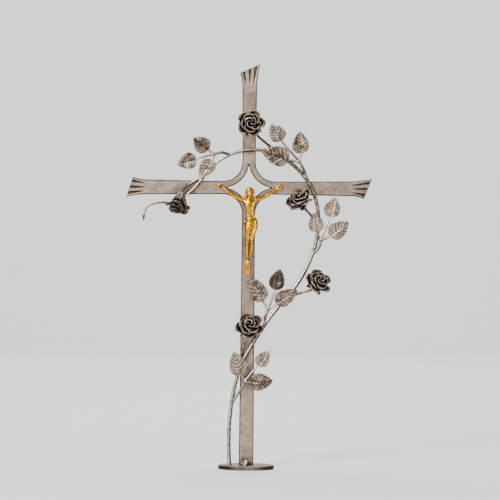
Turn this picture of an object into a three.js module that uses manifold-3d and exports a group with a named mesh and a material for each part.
// A wrought iron grave cross on an oval foot plate, with a climbing rose and a gilt corpus.
// Millimetres, +Z up. The front looks towards -Y.
// The origin is the middle of the plate's underside, where the cross is bolted down.
import * as THREE from "three";
import { mergeVertices } from "three/addons/utils/BufferGeometryUtils.js";
import Module from "manifold-3d";

const wasm = await Module();
wasm.setup();

// Foot plate and nut
const plateWidth = 154;
const plateDepth = 80;
const plateThickness = 12;
const plateBevel = 1.5;
const nutAcrossFlats = 17;
const nutHexHeight = 8;
const nutDomeHeight = 10;
const nutSetback = 9; // bar face to the nut's near flat

// Flat bar cross
const barThickness = 8;
const barBevel = 1.1;
const barWidth = 40.5; // at the foot and where the ends start to spread
const neckWidth = 36; // where the split ribbons part
const armHeight = 773; // ground to the axis of the arms
const armLength = 327.5; // crossing to the middle of each slanted end
const cornerRadius = 54;
const slitWidth = 1.6;
const flareLength = 52;
const flareWidth = 56;
const slantRight = 22;
const slantTop = 25;
const slantLeft = 18;

// Chisel grooves at the three free ends
const grooveLength = 44;
const grooveWidth = 12;
const grooveDepth = 3.6;
const grooveSpacingAtTip = 16.8;
const grooveSpacingAtRoot = 9.6;

// Rose bars, leaves and blooms
const weldGap = 0.3;
const stemDiameter = 10.4;
const tendrilDiameter = 4.6;
const budDiameter = 8.5;
const bloomStemDiameter = 7.4;
const bloomStemSetback = 0.5; // its axis lies this far behind the climbing stem's
const twigDiameter = 5.4;
const leafThickness = 1.6;
const leafTeeth = 4;
const leafFold = 4.2; // how far the halves rise beside the midrib
const leafArch = 3; // how far the middle stands proud of base and tip
const toothDepth = 2;
const petalThickness = 1.4;
const topRoseDiameter = 74;
const leftRoseDiameter = 67;
const rightRoseDiameter = 66;
const outerRoseDiameter = 68;
const lowerRoseDiameter = 76;

// Corpus, measured from the crown of the head to the toes
const corpusHeight = 216;
const nailHeadDiameter = 5.2;

// Planes that the rose bars keep to, in front of the flat bar
const barFront = -barThickness / 2;
const stemPlane = barFront - weldGap - stemDiameter / 2;
const bloomStemPlane = stemPlane + bloomStemSetback;
const stemFront = stemPlane - stemDiameter / 2;

const V = (x, y, z) => new THREE.Vector3(x, y, z);

// Finishes
const finish = (color, roughness, metalness) =>
  new THREE.MeshStandardMaterial({ color, roughness, metalness });
const wornIron = () => finish(0x9a9086, 0.48, 0.85);
const stemIron = () => finish(0x6d6862, 0.4, 0.9);
const leafIron = () => finish(0x8d8882, 0.42, 0.9);
const blackIron = () => finish(0x2d2b2a, 0.38, 0.85);
const antiqueGold = () => finish(0xc99a3c, 0.32, 0.95);
const brightSteel = () => finish(0xb8b4ad, 0.25, 0.95);
const darkIron = () => finish(0x3a302a, 0.5, 0.8);

// A manifold solid from a closed geometry, facing out whichever way it was wound
function solidOf(geometry) {
  const bare = new THREE.BufferGeometry();
  bare.setAttribute("position", geometry.getAttribute("position"));
  bare.setIndex(geometry.getIndex());
  const merged = mergeVertices(bare, 1e-3);
  const corners = merged.getIndex().array;
  const kept = [];
  for (let i = 0; i < corners.length; i += 3) {
    const [a, b, c] = corners.slice(i, i + 3);
    if (a !== b && b !== c && c !== a) kept.push(a, b, c);
  }
  const vertProperties = merged.getAttribute("position").array;
  const make = (list) =>
    new wasm.Manifold(
      new wasm.Mesh({ numProp: 3, vertProperties, triVerts: new Uint32Array(list) }),
    );
  const solid = make(kept);
  return solid.volume() < 0 ? make(kept.reverse()) : solid;
}

function union(solids) {
  return solids.reduce((whole, next) => whole.add(next));
}

// The main body of a cut piece, without the slivers of a long cut
function mainBody(solid) {
  return solid.decompose().reduce((main, body) => (body.volume() > main.volume() ? body : main));
}

function geometryOf(solid) {
  const { vertProperties, triVerts, numProp } = solid.getMesh();
  const position = new Float32Array((vertProperties.length / numProp) * 3);
  for (let i = 0; i < position.length / 3; i++) {
    position.set(vertProperties.subarray(i * numProp, i * numProp + 3), i * 3);
  }
  const geometry = new THREE.BufferGeometry();
  geometry.setAttribute("position", new THREE.BufferAttribute(position, 3));
  geometry.setIndex(new THREE.BufferAttribute(triVerts, 1));
  geometry.computeVertexNormals();
  return geometry;
}

// A closed skin over rings of points, each end closed by a fan; a ring may shrink to a point
function skin(rings) {
  const sides = rings[0].length;
  const geometry = new THREE.BufferGeometry().setFromPoints(rings.flat());
  const index = [];
  for (let r = 0; r + 1 < rings.length; r++) {
    for (let s = 0; s < sides; s++) {
      const a = r * sides + s;
      const b = r * sides + ((s + 1) % sides);
      index.push(a, b, b + sides, a, b + sides, a + sides);
    }
  }
  const last = (rings.length - 1) * sides;
  for (let s = 1; s + 1 < sides; s++) {
    index.push(0, s + 1, s, last, last + s, last + s + 1);
  }
  geometry.setIndex(index);
  return geometry;
}

// Rings of half width and half depth along a list of centres, without twist
function loft(centres, halfWidths, halfDepths, sides) {
  const tangent = (i) =>
    centres[Math.min(i + 1, centres.length - 1)].clone().sub(centres[Math.max(i - 1, 0)]).normalize();
  const across = V(0, 1, 0).cross(tangent(0)).normalize();
  const turn = new THREE.Quaternion();
  const rings = centres.map((centre, i) => {
    const ahead = tangent(i);
    across.applyQuaternion(turn.setFromUnitVectors(tangent(Math.max(i - 1, 0)), ahead));
    const depth = ahead.clone().cross(across);
    return Array.from({ length: sides }, (_, s) => {
      const angle = (2 * Math.PI * (s + 0.5)) / sides;
      return centre
        .clone()
        .addScaledVector(across, halfWidths[i] * Math.cos(angle))
        .addScaledVector(depth, halfDepths[i] * Math.sin(angle));
    });
  });
  return skin(rings);
}

// Evenly spaced stations between two shares of a length, both ends included
function evenly(from, to, steps) {
  return Array.from({ length: steps + 1 }, (_, i) => from + ((to - from) * i) / steps);
}

// A round bar through points, ringed at the stations, its radius given by how far along it is
function roundBar(points, stations, radiusAt, sides) {
  const curve = new THREE.CatmullRomCurve3(points, false, "centripetal");
  const centres = stations.map((share) => curve.getPointAt(share));
  const radii = stations.map(radiusAt);
  return loft(centres, radii, radii, sides);
}

// A curved sheet of even thickness; place(across, along) runs over 0..1 both ways
function sheet(place, acrossSteps, alongSteps, thickness) {
  const insetShare = 0.02;
  const normalAt = (u, v) => {
    const [cu, cv] = [u, v].map((t) => THREE.MathUtils.clamp(t, insetShare, 1 - insetShare));
    const du = place(cu + insetShare, cv).sub(place(cu - insetShare, cv));
    const dv = place(cu, cv + insetShare).sub(place(cu, cv - insetShare));
    return du.cross(dv).normalize();
  };
  const points = [];
  for (const side of [0.5, -0.5]) {
    for (let j = 0; j <= alongSteps; j++) {
      for (let i = 0; i <= acrossSteps; i++) {
        const [u, v] = [i / acrossSteps, j / alongSteps];
        points.push(place(u, v).addScaledVector(normalAt(u, v), side * thickness));
      }
    }
  }
  const row = acrossSteps + 1;
  const back = row * (alongSteps + 1);
  const index = [];
  const quad = (a, b, c, d) => index.push(a, b, c, a, c, d);
  for (let j = 0; j < alongSteps; j++) {
    for (let i = 0; i < acrossSteps; i++) {
      const a = j * row + i;
      quad(a, a + 1, a + 1 + row, a + row);
      quad(back + a, back + a + row, back + a + row + 1, back + a + 1);
    }
    const left = j * row;
    const right = left + acrossSteps;
    quad(left, left + row, back + left + row, back + left);
    quad(right, back + right, back + right + row, right + row);
  }
  const top = alongSteps * row;
  for (let i = 0; i < acrossSteps; i++) {
    quad(i, back + i, back + i + 1, i + 1);
    quad(top + i, top + i + 1, back + top + i + 1, back + top + i);
  }
  const geometry = new THREE.BufferGeometry().setFromPoints(points);
  geometry.setIndex(index);
  return geometry;
}

const model = new THREE.Group();

function addPiece(name, shape, material, parent = model) {
  const geometry = shape.isBufferGeometry ? shape : geometryOf(shape);
  const mesh = new THREE.Mesh(geometry, material);
  mesh.name = name;
  parent.add(mesh);
  return mesh;
}

// The flat bar cross, drawn as (along, up) from the crossing and turned upright
const cornerOffset = neckWidth / 2 + cornerRadius;

// A point of an arm, given along and across it, turned by quarter turns from the right arm
function onArm(turn, along, across) {
  return new THREE.Vector2(along, across).rotateAround(new THREE.Vector2(), (turn * Math.PI) / 2);
}

function drawArm(outline, turn, slant) {
  const spread = armLength - flareLength;
  const bend = armLength - flareLength * 0.45;
  const go = (method, ...pairs) =>
    outline[method](...pairs.flatMap(([along, across]) => onArm(turn, along, across).toArray()));
  go("lineTo", [spread, -barWidth / 2]);
  go("quadraticCurveTo", [bend, -barWidth / 2], [armLength - slant / 2, -flareWidth / 2]);
  go("lineTo", [armLength + slant / 2, flareWidth / 2]);
  go("quadraticCurveTo", [bend, barWidth / 2], [spread, barWidth / 2]);
  go("lineTo", [cornerOffset, neckWidth / 2]);
}

function drawCorner(outline, turn) {
  const centre = onArm(turn, cornerOffset, cornerOffset);
  const quarter = Math.PI / 2;
  outline.absarc(centre.x, centre.y, cornerRadius, (3 + turn) * quarter, (2 + turn) * quarter, true);
}

// The star between the four ribbons: arcs that nearly meet in a narrow slit at each point
function starOpening() {
  const radius = cornerOffset;
  const start = Math.acos(1 - slitWidth / 2 / radius);
  const star = new THREE.Path();
  for (const turn of [0, 3, 2, 1]) {
    const centre = onArm(turn, cornerOffset, cornerOffset);
    const from = Math.PI + (turn * Math.PI) / 2;
    star.absarc(centre.x, centre.y, radius, from + start, from + Math.PI / 2 - start, false);
  }
  return star;
}

function chiselGroove(turn, slant, place) {
  const rootAlong = armLength - grooveLength;
  const tipAcross = place * grooveSpacingAtTip;
  const tipAlong = armLength + (slant * tipAcross) / flareWidth;
  const overrun = 1.4; // the cutter runs on past the end
  const root = onArm(turn, rootAlong, place * grooveSpacingAtRoot);
  const reach = onArm(turn, tipAlong, tipAcross).sub(root).multiplyScalar(overrun);
  const side = new THREE.Vector2(-reach.y, reach.x).normalize();
  const half = (grooveWidth / 2) * overrun;
  const depth = grooveDepth * overrun;
  const section = [
    [-half, 0],
    [-half * 0.35, depth],
    [half * 0.35, depth],
    [half, 0],
    [half, -barThickness],
    [-half, -barThickness],
  ];
  const ring = section.map(([across, deep]) => {
    const point = root.clone().add(reach).addScaledVector(side, across);
    return V(point.x, barFront + deep, armHeight + point.y);
  });
  return solidOf(skin([ring.map(() => V(root.x, barFront, armHeight + root.y)), ring]));
}

function makeCross() {
  const foot = plateThickness + weldGap - armHeight;
  const slants = [slantRight, -slantTop, slantLeft];
  const outline = new THREE.Shape();
  outline.moveTo(-barWidth / 2, foot);
  outline.lineTo(barWidth / 2, foot);
  outline.lineTo(neckWidth / 2, -cornerOffset);
  drawCorner(outline, 3);
  slants.forEach((slant, turn) => {
    drawArm(outline, turn, slant);
    drawCorner(outline, turn);
  });
  outline.holes.push(starOpening());
  const bar = new THREE.ExtrudeGeometry(outline, {
    depth: barThickness - 2 * barBevel,
    bevelThickness: barBevel,
    bevelSize: barBevel,
    bevelOffset: -barBevel,
    bevelSegments: 1,
    curveSegments: 4,
  });
  bar.rotateX(Math.PI / 2).translate(0, barThickness / 2 - barBevel, armHeight);
  return slants.reduce(
    (cross, slant, turn) =>
      [-1, 0, 1].reduce((left, place) => left.subtract(chiselGroove(turn, slant, place)), cross),
    solidOf(bar),
  );
}

function makePlate() {
  const oval = new THREE.Shape();
  oval.absellipse(0, 0, plateWidth / 2, plateDepth / 2, 0, 2 * Math.PI, false);
  const plate = new THREE.ExtrudeGeometry(oval, {
    depth: plateThickness - 2 * plateBevel,
    bevelThickness: plateBevel,
    bevelSize: plateBevel,
    bevelOffset: -plateBevel,
    bevelSegments: 1,
    curveSegments: 9,
  });
  return solidOf(plate.translate(0, 0, plateBevel));
}

function makeNut() {
  const hexRadius = nutAcrossFlats / Math.sqrt(3);
  const hex = new THREE.CylinderGeometry(hexRadius, hexRadius, nutHexHeight, 6);
  hex.rotateX(Math.PI / 2).translate(0, 0, nutHexHeight / 2);
  const domeRadius = nutAcrossFlats * 0.45;
  const sunk = 1;
  const profile = [new THREE.Vector2(0, -sunk), new THREE.Vector2(domeRadius, -sunk)];
  const domeSteps = 4;
  for (let i = 0; i < domeSteps; i++) {
    const angle = (i / domeSteps) * (Math.PI / 2);
    profile.push(new THREE.Vector2(domeRadius * Math.cos(angle), nutDomeHeight * Math.sin(angle)));
  }
  profile.push(new THREE.Vector2(0, nutDomeHeight));
  const dome = new THREE.LatheGeometry(profile, 10);
  dome.rotateX(Math.PI / 2).translate(0, 0, nutHexHeight);
  return solidOf(hex).add(solidOf(dome));
}

// The climbing rose keeps its place on the cross. Its spots are [x, z]: x in thousandths of an arm's
// length, z in thousandths of the arms' height up to the arms, and of an arm's length above them
const wholeShare = 1000;

function onCross([x, z], y) {
  const below = (Math.min(z, wholeShare) / wholeShare) * armHeight;
  const above = (Math.max(z - wholeShare, 0) / wholeShare) * armLength;
  return V((x / wholeShare) * armLength, y, below + above);
}

// The climbing stem, from the foot plate over the crossing to the tendril
const stemRoute = [
  [-140, 0], [-147, 103], [-137, 194], [-101, 295], [-43, 378], [55, 453], [168, 528], [296, 599],
  [409, 657], [498, 724], [562, 799], [586, 880], [568, 951], [495, 1058], [369, 1195], [226, 1284],
  [61, 1318], [-113, 1293], [-263, 1214], [-385, 1079], [-489, 984], [-626, 948], [-763, 943],
  [-846, 929], [-873, 906], [-882, 878],
];

// The bar slims from the crossing on, and its end swells into a small pointed bud
const slimStartShare = 0.62;
const slimEndShare = 0.955;
const budStartShare = 0.984;

function stemRadius(share) {
  const slim = THREE.MathUtils.smoothstep(share, slimStartShare, slimEndShare);
  const bar = THREE.MathUtils.lerp(stemDiameter, tendrilDiameter, slim) / 2;
  const bud = THREE.MathUtils.clamp((share - budStartShare) / (1 - budStartShare), 0, 1);
  const pointed = bar * (1 - 0.75 * bud);
  return pointed + (budDiameter / 2 - tendrilDiameter / 2) * Math.sin(Math.PI * Math.pow(bud, 0.8));
}

function climbingStem(grow = 0) {
  const [foot, ...rest] = stemRoute.map((spot) => onCross(spot, stemPlane));
  foot.z = plateThickness + weldGap - grow;
  const curlShare = 0.9; // from here on the bar curls tightly
  const stations = [...evenly(0, curlShare, 40), ...evenly(curlShare, 1, 13).slice(1)];
  return solidOf(roundBar([foot, ...rest], stations, (share) => stemRadius(share) + grow, 7));
}

// Five forked twigs, each welded to the stem and carrying three leaves
const twigPlane = stemFront - weldGap - twigDiameter / 2;
const twigEndDiameter = twigDiameter * 0.55;
const leafPlane = twigPlane - twigEndDiameter / 2 - weldGap - leafThickness / 2;
const leafTuck = 9; // how far a twig runs on behind its leaf

// Each leaf: base, tip, then width and the tip's lean to the front as shares of its length
const twigs = [
  {
    name: "left", root: [-165, 1275], via: [-229, 1293], fork: [-293, 1281],
    leaves: [
      [[-342, 1311], [-467, 1412], 0.72, 0.11],
      [[-443, 1238], [-598, 1186], 0.7, -0.07],
      [[-308, 1226], [-412, 1079], 0.61, 0.05],
    ],
  },
  {
    name: "top", root: [489, 1070], via: [458, 1156], fork: [424, 1214],
    leaves: [
      [[269, 1394], [180, 1534], 0.7, 0.09],
      [[431, 1287], [424, 1473], 0.64, -0.08],
      [[327, 1238], [125, 1305], 0.55, 0.03],
    ],
  },
  {
    name: "right", root: [562, 774], via: [592, 790], fork: [605, 815],
    leaves: [
      [[571, 845], [553, 913], 0.67, 0.04],
      [[681, 899], [724, 969], 0.68, -0.09],
      [[681, 831], [837, 881], 0.62, 0.09],
    ],
  },
  {
    name: "middle", root: [144, 515], via: [150, 545], fork: [168, 565],
    leaves: [
      [[128, 598], [31, 682], 0.56, 0.07],
      [[226, 639], [269, 712], 0.62, -0.1],
      [[238, 592], [412, 639], 0.56, 0.03],
    ],
  },
  {
    name: "low", root: [-113, 243], via: [-64, 277], fork: [-18, 313],
    leaves: [
      [[-46, 335], [-113, 417], 0.61, 0.04],
      [[89, 370], [186, 420], 0.63, -0.1],
      [[34, 310], [217, 316], 0.68, 0.1],
    ],
  },
];

// A leaf's own axes: along the midrib, across it and out of its face
function leafFrame([base, tip, widthShare, lean]) {
  const start = onCross(base, leafPlane);
  const flat = onCross(tip, leafPlane).sub(start);
  const length = flat.length();
  const along = flat.divideScalar(length).addScaledVector(V(0, -1, 0), lean).normalize();
  const out = V(0, -1, 0).addScaledVector(along, along.y).normalize();
  return { start, along, out, across: out.clone().cross(along), length, width: length * widthShare };
}

// The half width of a leaf along its length: round at the base, drawn out at the tip
function leafHalfWidth(width, share) {
  return (width / 2) * Math.pow(Math.sin(Math.PI * Math.pow(share, 0.62)), 0.85);
}

function leafPoint(frame, across, share) {
  const side = 2 * across - 1;
  const reach = Math.abs(side);
  const tooth = Math.abs(((share * leafTeeth + 0.5) % 1) - 0.5) * 2;
  const edge = toothDepth * tooth * reach * Math.sin(Math.PI * share);
  const half = leafHalfWidth(frame.width, THREE.MathUtils.clamp(share, 0.004, 0.996)) + edge;
  const rise = leafFold * reach * (1.5 - reach) * Math.sin(Math.PI * Math.min(1, share + 0.12));
  const arch = leafArch * Math.sin(Math.PI * share);
  return frame.start
    .clone()
    .addScaledVector(frame.along, share * frame.length + edge)
    .addScaledVector(frame.across, side * half)
    .addScaledVector(frame.out, rise + arch);
}

function makeLeaf(leaf) {
  const frame = leafFrame(leaf);
  return sheet((u, v) => leafPoint(frame, u, v), 2, 2 * leafTeeth, leafThickness);
}

// The end of a twig lies along the back of its leaf
function twigEnd(leaf) {
  const frame = leafFrame(leaf);
  const behind = leafThickness / 2 + weldGap + twigEndDiameter / 2;
  const place = (ahead) =>
    frame.start.clone().addScaledVector(frame.along, ahead).addScaledVector(frame.out, -behind);
  return [place(-leafTuck / 3), place(leafTuck)];
}

function makeTwig({ root, via, fork, leaves }) {
  const start = onCross(root, stemPlane);
  const bend = onCross(via, (stemPlane + twigPlane) / 2);
  const middle = onCross(fork, twigPlane);
  const taper = (thick) => (share) => THREE.MathUtils.lerp(thick, twigEndDiameter, share) / 2;
  const ends = leaves.map(twigEnd);
  const branches = ends.map((end, i) => {
    const lead = i === 0 ? [start, bend] : [];
    const steps = i === 0 ? 6 : 3;
    const thick = i === 0 ? twigDiameter : twigDiameter * 0.75;
    return solidOf(roundBar([...lead, middle, ...end], evenly(0, 1, steps), taper(thick), 5));
  });
  return union(branches);
}

// Roses, in shares of the bloom's radius: [distance from the axis, height above the stem's end]
const sepals = 5;
// Down the cup and out along a sepal, then back along its upper face: [share, height] at a sepal's
// middle, then at the notch between two sepals
const calyxRings = [
  [[0.14, 0], [0.14, 0]],
  [[0.17, 0.1], [0.17, 0.1]],
  [[0.27, 0.24], [0.25, 0.24]],
  [[0.62, 0.53], [0.29, 0.3]],
  [[0.98, 0.68], [0.3, 0.33]],
  [[0.62, 0.57], [0.29, 0.35]],
  [[0.24, 0.35], [0.24, 0.35]],
];
const whorls = [
  {
    name: "outer_petals", petals: 5, columns: 3, turn: 0,
    profile: [[0.2, 0.42], [0.44, 0.58], [0.76, 0.9], [0.95, 1.15], [1, 1.08]],
  },
  {
    name: "middle_petals", petals: 4, columns: 3, turn: 0.5,
    profile: [[0.15, 0.53], [0.31, 0.72], [0.52, 1.02], [0.66, 1.26], [0.73, 1.22]],
  },
  {
    name: "inner_petals", petals: 3, columns: 2, turn: 0.2,
    profile: [[0.1, 0.65], [0.19, 0.85], [0.29, 1.1], [0.36, 1.32], [0.42, 1.35]],
  },
];
const petalRows = 3;
const petalStepShare = 0.13; // how far one petal's edge lies out over the next
const petalNotchShare = 0.24; // how far the rim drops between two petals

function onBloom(radius, length, spin) {
  return (share, height, turns) => {
    const angle = turns * 2 * Math.PI + spin;
    const out = radius * share;
    return V(out * Math.cos(angle), out * Math.sin(angle), radius * length * height);
  };
}

// A bowl of petals cut from one sheet, each petal's far edge lifted out over the next petal's near one
function makeWhorl({ petals, columns, turn, profile }, place) {
  const curve = new THREE.SplineCurve(profile.map((spot) => new THREE.Vector2(...spot)));
  const stepShare = 0.05; // share of a petal taken by the step to its neighbour
  const column = (index) => {
    const across = (index % (columns + 1)) / columns;
    const side = 2 * across - 1;
    const petal = Math.floor(index / (columns + 1)) + turn;
    return { side, turns: (petal + stepShare / 2 + across * (1 - stepShare)) / petals };
  };
  const around = Array.from({ length: petals * (columns + 1) }, (_, index) => column(index));
  const ring = (row, face) =>
    around.map(({ side, turns }) => {
      const share = row * (1 - petalNotchShare * Math.pow(Math.abs(side), 3));
      const spot = curve.getPoint(share);
      const slope = curve.getTangent(Math.min(share, 0.98));
      const out = spot.x + (side * petalStepShare * row) / 2;
      const lift = place(-slope.y, slope.x, turns).setLength((face * petalThickness) / 2);
      return place(out, spot.y, turns).add(lift);
    });
  const rows = evenly(0, 1, petalRows);
  const outside = rows.map((row) => ring(row, -1));
  const inside = rows.reverse().map((row) => ring(row, 1));
  return solidOf(skin([...outside, ...inside]));
}

function makeCalyx(place) {
  const rings = calyxRings.map((pair) =>
    Array.from({ length: 2 * sepals }, (_, i) => place(...pair[i % 2], i / (2 * sepals))),
  );
  return solidOf(skin(rings));
}

// Each rose: its stem's end, how far that stands forward as a share of the bloom, the way it faces,
// its turn about that axis, its length in bloom radii, and the bar that carries it
const roses = [
  {
    name: "top", diameter: topRoseDiameter, at: [21, 1510], forward: 0.12,
    faces: [-0.08, -0.965, 0.25], spin: 0.5, length: 0.88,
    route: [[330, 1223], [195, 1333], [76, 1431]],
  },
  {
    name: "left", diameter: leftRoseDiameter, at: [-562, 978], forward: 0.21,
    faces: [-0.2, -0.44, -0.875], spin: 0.2, length: 1.25,
    route: [[-379, 1079], [-449, 1055], [-504, 1018]],
  },
  {
    name: "right", diameter: rightRoseDiameter, at: [467, 931], forward: 0.15,
    faces: [-0.54, -0.615, 0.575], spin: 0.9, length: 1,
    route: [[580, 856], [534, 898]],
  },
  {
    name: "outer", diameter: outerRoseDiameter, at: [553, 647], forward: 0.075,
    faces: [0.43, -0.71, 0.55], spin: 1.3, length: 1,
    route: [[318, 608], [427, 626], [504, 636]],
  },
  {
    name: "lower", diameter: lowerRoseDiameter, at: [24, 489], forward: 0.12,
    faces: [-0.05, -0.84, 0.54], spin: 0.1, length: 0.88,
    route: [[-67, 357], [-49, 404], [-21, 448]],
  },
];

function makeRose(rose) {
  const radius = rose.diameter / 2;
  const group = new THREE.Group();
  const faces = V(...rose.faces).normalize();
  group.position.copy(onCross(rose.at, bloomStemPlane - rose.forward * rose.diameter));
  group.quaternion.setFromUnitVectors(V(0, 0, 1), faces);
  model.add(group);
  const place = onBloom(radius, rose.length, rose.spin);
  addPiece(`rose_${rose.name}_calyx`, makeCalyx(place), blackIron(), group);
  for (const whorl of whorls) {
    addPiece(`rose_${rose.name}_${whorl.name}`, makeWhorl(whorl, place), blackIron(), group);
  }
  const approach = bloomStemDiameter;
  const route = rose.route.map((spot, i) => onCross(spot, i === 0 ? stemPlane : bloomStemPlane));
  for (const ahead of [-approach, approach / 4]) {
    route.push(group.position.clone().addScaledVector(faces, ahead));
  }
  const bar = roundBar(route, evenly(0, 1, 7), () => bloomStemDiameter / 2, 6);
  const beyond = new THREE.BoxGeometry(rose.diameter, rose.diameter, rose.diameter);
  beyond.translate(0, 0, rose.diameter / 2 - weldGap).applyQuaternion(group.quaternion);
  beyond.translate(...group.position.toArray());
  return solidOf(bar).subtract(solidOf(beyond));
}

// The corpus is drawn 216 parts tall, with its heights counted from the arms' axis
const part = corpusHeight / 216;

function onCorpus([x, z, forward]) {
  return V(x * part, barFront - forward * part, armHeight + z * part);
}

// A limb or a trunk: stations of [x, z, forward, half width, half depth]
function bodyPart(stations, sides) {
  const widths = stations.map((station) => station[3] * part);
  const depths = stations.map((station) => station[4] * part);
  return solidOf(loft(stations.map(onCorpus), widths, depths, sides));
}

function bodyBall(centre, [width, height, depth], around, down) {
  const ball = new THREE.SphereGeometry(1, around, down);
  ball.rotateX(Math.PI / 2).scale(width * part, depth * part, height * part);
  return solidOf(ball.translate(...onCorpus(centre).toArray()));
}

const palms = { left: [-77, 4, 6.8], right: [82, 2.5, 6.8] };

function makeCorpus() {
  const trunk = bodyPart([
    [1.5, -24, 8, 6, 5], [2, -31, 8.5, 14, 6], [2.5, -40, 10, 17.5, 8.5], [4, -58, 11, 14.5, 8.5],
    [6, -79, 9, 12.5, 7], [8, -96, 9.5, 17.5, 9], [7.5, -112, 9, 13, 7],
  ], 9);
  const cloth = bodyPart([
    [7.5, -88, 9.5, 17, 9.5], [8, -97, 10, 19.5, 11], [7, -111, 11, 18, 11.5], [6.5, -122, 12, 13.5, 10],
  ], 9);
  const clothEnd = bodyPart([
    [-9, -91, 9, 4.5, 6], [-11.5, -100, 9, 4, 5], [-11, -118, 8, 4.5, 4], [-10, -126, 8, 3, 2.5],
  ], 6);
  const legs = [
    [
      [-1, -104, 10, 8.5, 8.5], [-3, -120, 13, 7.5, 8], [-2, -143, 17.5, 5.5, 6.5],
      [-5, -164, 12.5, 5.4, 6], [-3, -190, 8, 3.5, 3.8], [-3, -199, 9, 4.2, 4],
      [-3.5, -213, 13, 4.2, 2.6],
    ],
    [
      [14, -104, 10, 8.5, 8.5], [14, -120, 13, 7.8, 8], [8.5, -143, 18, 5.6, 6.5],
      [9, -164, 13, 5.4, 6], [3, -190, 13, 3.5, 3.8], [0.5, -200, 15, 4.2, 4],
      [-1, -213, 18.5, 4.2, 2.6],
    ],
  ].map((stations) => bodyPart(stations, 6));
  const arms = [
    [
      [-12, -34, 8, 6.5, 6.5], [-30, -27, 7, 4.8, 5], [-45, -21, 6, 4.4, 4.6],
      [-58, -10, 5.4, 4.8, 4.6], [-70, -1, 4.2, 3.3, 3], [-77, 4, 4, 5, 2.8], [-86, 7, 5, 3.4, 2.2],
    ],
    [
      [16, -34, 8, 6.5, 6.5], [34, -28, 7, 4.8, 5], [50, -21, 6, 4.4, 4.6],
      [63, -12, 5.4, 4.8, 4.6], [75, -3, 4.2, 3.3, 3], [82, 2.5, 4, 5, 2.8], [91, 5, 5, 3.4, 2.2],
    ],
  ].map((stations) => bodyPart(stations, 6));
  const neck = bodyPart([[2, -36, 8, 7, 6], [1.5, -20, 11, 5.5, 5.5]], 7);
  const skull = bodyBall([1.5, -9, 12], [10.5, 12.2, 11], 9, 7);
  const beard = bodyBall([1.5, -20, 17], [6.5, 7.5, 6.5], 7, 5);
  const nose = bodyPart(
    [[1.5, -9, 21.5, 1.4, 1], [1.5, -15, 22.5, 2, 2.4], [1.5, -16.5, 22, 1.8, 1.6]],
    4,
  );
  const locks = [-1, 1].map((side) =>
    bodyPart([
      [1.5 + 5 * side, -1, 12, 6, 7], [1.5 + 9 * side, -8, 11, 4.6, 7],
      [1.5 + 10 * side, -20, 11, 4, 5.5], [1.5 + 9 * side, -34, 13, 3, 4],
      [1.5 + 8.5 * side, -40, 15.5, 2, 2],
    ], 5),
  );
  const footRest = bodyPart(
    [[-1.8, -206, 7, 10, 9.5], [-1.8, -226, 4, 10, 9], [-1.8, -239, 2, 9, 6]],
    4,
  );
  const head = [neck, skull, beard, nose, ...locks];
  const figure = union([trunk, cloth, clothEnd, ...legs, ...arms, ...head, footRest]);
  const wall = new THREE.BoxGeometry(2 * corpusHeight, corpusHeight, 4 * corpusHeight);
  wall.translate(0, corpusHeight / 2 + barFront - weldGap, armHeight);
  return figure.subtract(solidOf(wall));
}

function makeNailHead(palm) {
  const radius = nailHeadDiameter / 2;
  const profile = [[0, 0], [radius, 0], [radius * 0.8, radius * 0.45], [0, radius * 0.75]];
  const head = new THREE.LatheGeometry(profile.map((spot) => new THREE.Vector2(...spot)), 8);
  const seat = onCorpus(palm);
  return solidOf(head.rotateX(Math.PI).translate(seat.x, seat.y - weldGap, seat.z));
}

// Assembly
const cross = makeCross();
const stem = climbingStem();
const stemClearance = climbingStem(weldGap);

addPiece("base_plate", makePlate(), wornIron());
addPiece("cap_nut", makeNut(), brightSteel()).position.set(
  0, barFront - nutSetback - nutAcrossFlats / 2, plateThickness + weldGap,
);
addPiece("cross", cross, wornIron());
addPiece("climbing_stem", stem, stemIron());

for (const rose of roses) {
  const bar = mainBody(makeRose(rose).subtract(stemClearance));
  addPiece(`bloom_stem_${rose.name}`, bar, stemIron());
}
for (const twig of twigs) {
  addPiece(`twig_${twig.name}`, mainBody(makeTwig(twig).subtract(stemClearance)), stemIron());
  twig.leaves.forEach((leaf, i) => addPiece(`leaf_${twig.name}_${i + 1}`, makeLeaf(leaf), leafIron()));
}
addPiece("corpus", makeCorpus(), antiqueGold());
for (const [side, palm] of Object.entries(palms)) {
  addPiece(`nail_${side}_hand`, makeNailHead(palm), darkIron());
}

export default model;
